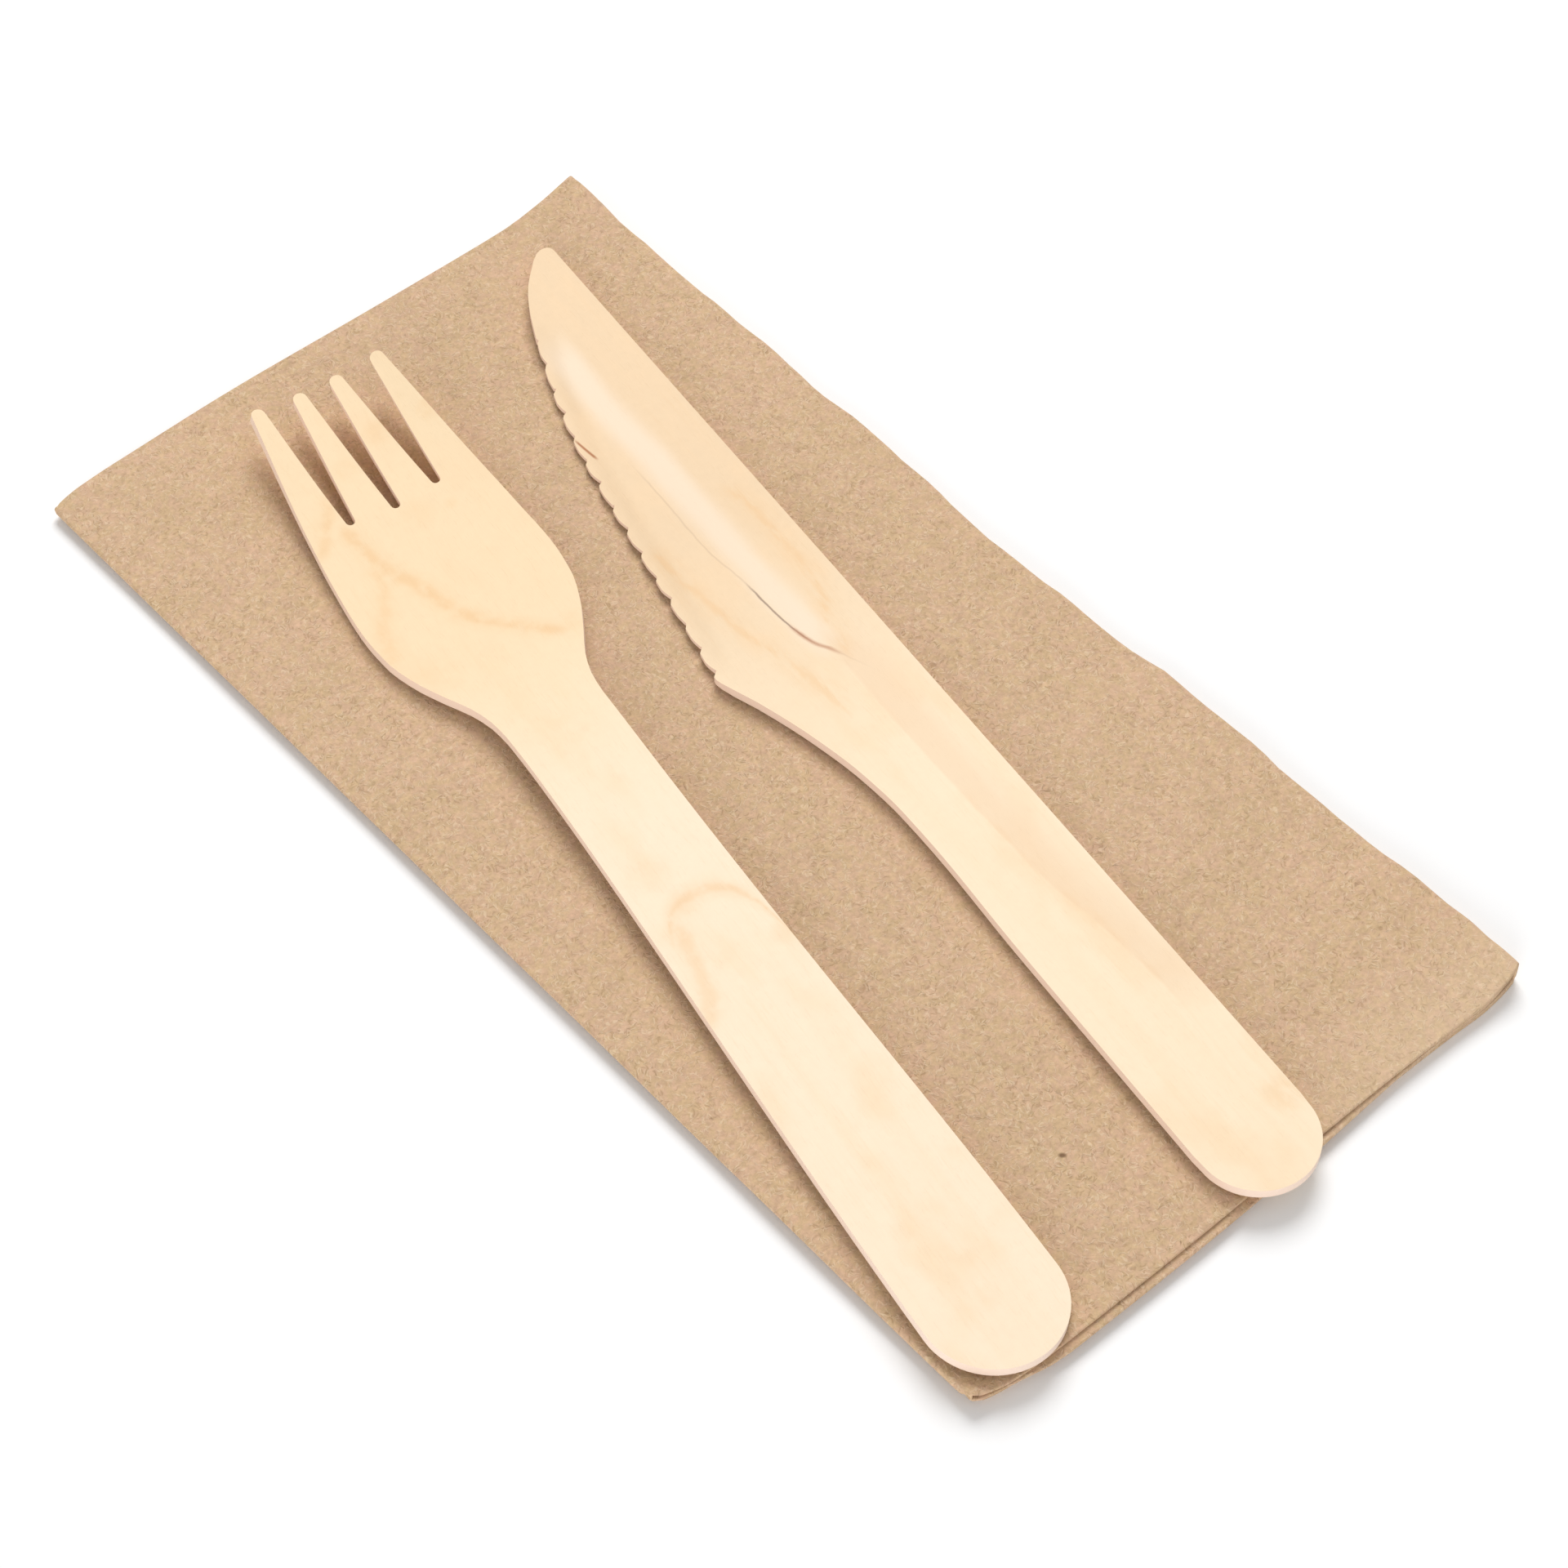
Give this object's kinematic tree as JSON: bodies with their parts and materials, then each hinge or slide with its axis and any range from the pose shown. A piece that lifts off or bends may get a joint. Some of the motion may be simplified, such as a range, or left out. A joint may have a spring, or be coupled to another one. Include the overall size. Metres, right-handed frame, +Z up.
{
  "type": "wooden cutlery pack",
  "caption": "Disposable wooden cutlery pack: a stamped birch-veneer fork and serrated knife lying side by side on a folded kraft paper napkin",
  "frame": {"origin": "middle of the napkin's flat underside", "axes": "+Z up from the napkin's underside; +Y along the napkin's long side, from the cutlery's handle ends to the tines and blade tip; +X across it, from the fork's side to the knife's side"},
  "size_m": [0.0834, 0.1681, 0.0086],
  "materials": {
    "birch_fork": "bare rotary-cut birch veneer, sanded, pale cream with faint tan figure",
    "birch_knife": "bare rotary-cut birch veneer, sanded, pale cream with warm tan streaks along the blank",
    "kraft_paper": "matt unbleached kraft napkin paper with short dark fibre flecks"
  },
  "bodies": {
    "root": {"fork": "birch_fork", "knife": "birch_knife", "napkin": "kraft_paper"}
  },
  "joints": []
}
